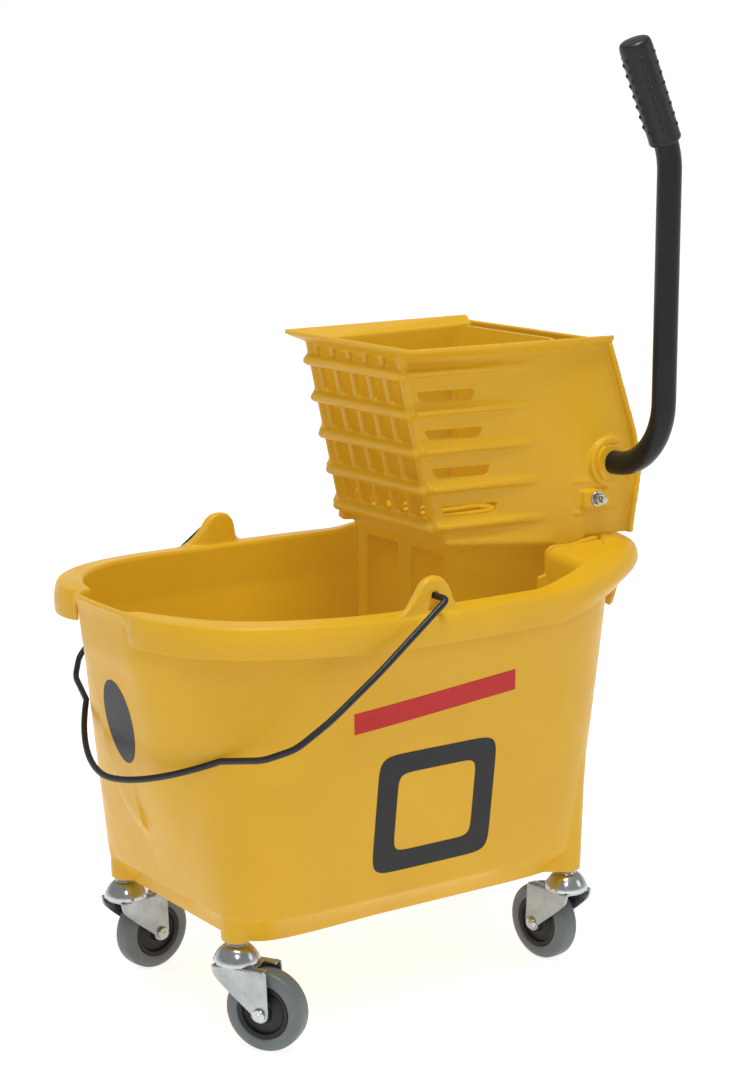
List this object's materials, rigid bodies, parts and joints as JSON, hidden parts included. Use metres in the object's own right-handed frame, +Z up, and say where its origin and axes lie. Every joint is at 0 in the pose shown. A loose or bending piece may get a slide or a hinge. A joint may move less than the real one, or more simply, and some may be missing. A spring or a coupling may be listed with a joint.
{
  "type": "mop bucket with wringer",
  "caption": "Oval plastic mop bucket on swivel casters with a wire bail and a lever-worked side-press wringer hung on its rear wall.",
  "frame": {"origin": "on the floor under the middle of the four caster stems", "axes": "+X towards the wringer end, -X the pouring end, -Y the lever's side, +Z up"},
  "size_m": [0.5528, 0.424, 0.8966],
  "materials": {
    "yellow_plastic": "satin moulded polyethylene",
    "black_wire": "black coated wire",
    "zinc_steel": "bright zinc plate",
    "black_plastic": "moulded black",
    "grey_tread": "matte grey tread",
    "black_paint": "satin black paint",
    "black_rubber": "soft black grip"
  },
  "bodies": {
    "bucket": {"bucket_shell": "yellow_plastic", "stem_fl": "zinc_steel", "stem_fr": "zinc_steel", "stem_rl": "zinc_steel", "stem_rr": "zinc_steel"},
    "bail": {"bail_wire": "black_wire"},
    "wringer": {"wringer_body": "yellow_plastic", "anchor_bolts": "zinc_steel", "anchor_washers": "zinc_steel", "anchor_nuts": "zinc_steel", "bush_near": "yellow_plastic", "bush_far": "yellow_plastic", "return_spring": "zinc_steel"},
    "press": {"press_plate": "yellow_plastic", "racks": "black_plastic", "rack_screws": "zinc_steel"},
    "lever": {"handle_tube": "black_paint", "grip": "black_rubber", "sectors": "black_plastic", "sector_pins": "zinc_steel", "shaft_cap": "black_plastic", "cotter_pin": "zinc_steel"},
    "swivel_fl": {"fork_fl": "zinc_steel", "axle_fl": "zinc_steel", "balls_fl": "zinc_steel"},
    "wheel_fl": {"hub_fl": "black_plastic", "tyre_fl": "grey_tread"},
    "swivel_fr": {"fork_fr": "zinc_steel", "axle_fr": "zinc_steel", "balls_fr": "zinc_steel"},
    "wheel_fr": {"hub_fr": "black_plastic", "tyre_fr": "grey_tread"},
    "swivel_rl": {"fork_rl": "zinc_steel", "axle_rl": "zinc_steel", "balls_rl": "zinc_steel"},
    "wheel_rl": {"hub_rl": "black_plastic", "tyre_rl": "grey_tread"},
    "swivel_rr": {"fork_rr": "zinc_steel", "axle_rr": "zinc_steel", "balls_rr": "zinc_steel"},
    "wheel_rr": {"hub_rr": "black_plastic", "tyre_rr": "grey_tread"}
  },
  "joints": [
    {"name": "wringer_lift", "type": "slide", "parent": "bucket", "child": "wringer", "axis": [0, 0, 1], "range_m": [0, 0.3]},
    {"name": "lever_swing", "type": "hinge", "parent": "wringer", "child": "lever", "pos_m": [0.238, 0, 0.4965], "axis": [0, -1, 0], "range_deg": [0, 85], "stiffness_Nm_per_rad": 2, "springref_deg": -20.05},
    {"name": "press_slide", "type": "slide", "parent": "wringer", "child": "press", "axis": [-1, 0, 0], "range_m": [0, 0.0445]},
    {"name": "bail_swing", "type": "hinge", "parent": "bucket", "child": "bail", "pos_m": [-0.026, 0, 0.412], "axis": [0, 1, 0], "range_deg": [0, 130]},
    {"name": "swivel_fl_turn", "type": "hinge", "parent": "bucket", "child": "swivel_fl", "pos_m": [-0.183, 0.103, 0.08], "axis": [0, 0, 1], "continuous": true},
    {"name": "wheel_fl_roll", "type": "hinge", "parent": "swivel_fl", "child": "wheel_fl", "pos_m": [-0.15329, 0.10718, 0.0381], "axis": [-0.1392, 0.9903, 0], "continuous": true},
    {"name": "swivel_fr_turn", "type": "hinge", "parent": "bucket", "child": "swivel_fr", "pos_m": [-0.183, -0.103, 0.08], "axis": [0, 0, 1], "continuous": true},
    {"name": "wheel_fr_roll", "type": "hinge", "parent": "swivel_fr", "child": "wheel_fr", "pos_m": [-0.1671, -0.12844, 0.0381], "axis": [0.848, 0.5299, 0], "continuous": true},
    {"name": "swivel_rl_turn", "type": "hinge", "parent": "bucket", "child": "swivel_rl", "pos_m": [0.183, 0.123, 0.08], "axis": [0, 0, 1], "continuous": true},
    {"name": "wheel_rl_roll", "type": "hinge", "parent": "swivel_rl", "child": "wheel_rl", "pos_m": [0.21019, 0.11032, 0.0381], "axis": [0.4226, 0.9063, 0], "continuous": true},
    {"name": "swivel_rr_turn", "type": "hinge", "parent": "bucket", "child": "swivel_rr", "pos_m": [0.183, -0.123, 0.08], "axis": [0, 0, 1], "continuous": true},
    {"name": "wheel_rr_roll", "type": "hinge", "parent": "swivel_rr", "child": "wheel_rr", "pos_m": [0.17986, -0.09316, 0.0381], "axis": [-0.9945, -0.1045, 0], "continuous": true}
  ],
  "couplings": [
    {"joint": "press_slide", "follows": "lever_swing", "m_per_rad": 0.02975}
  ]
}
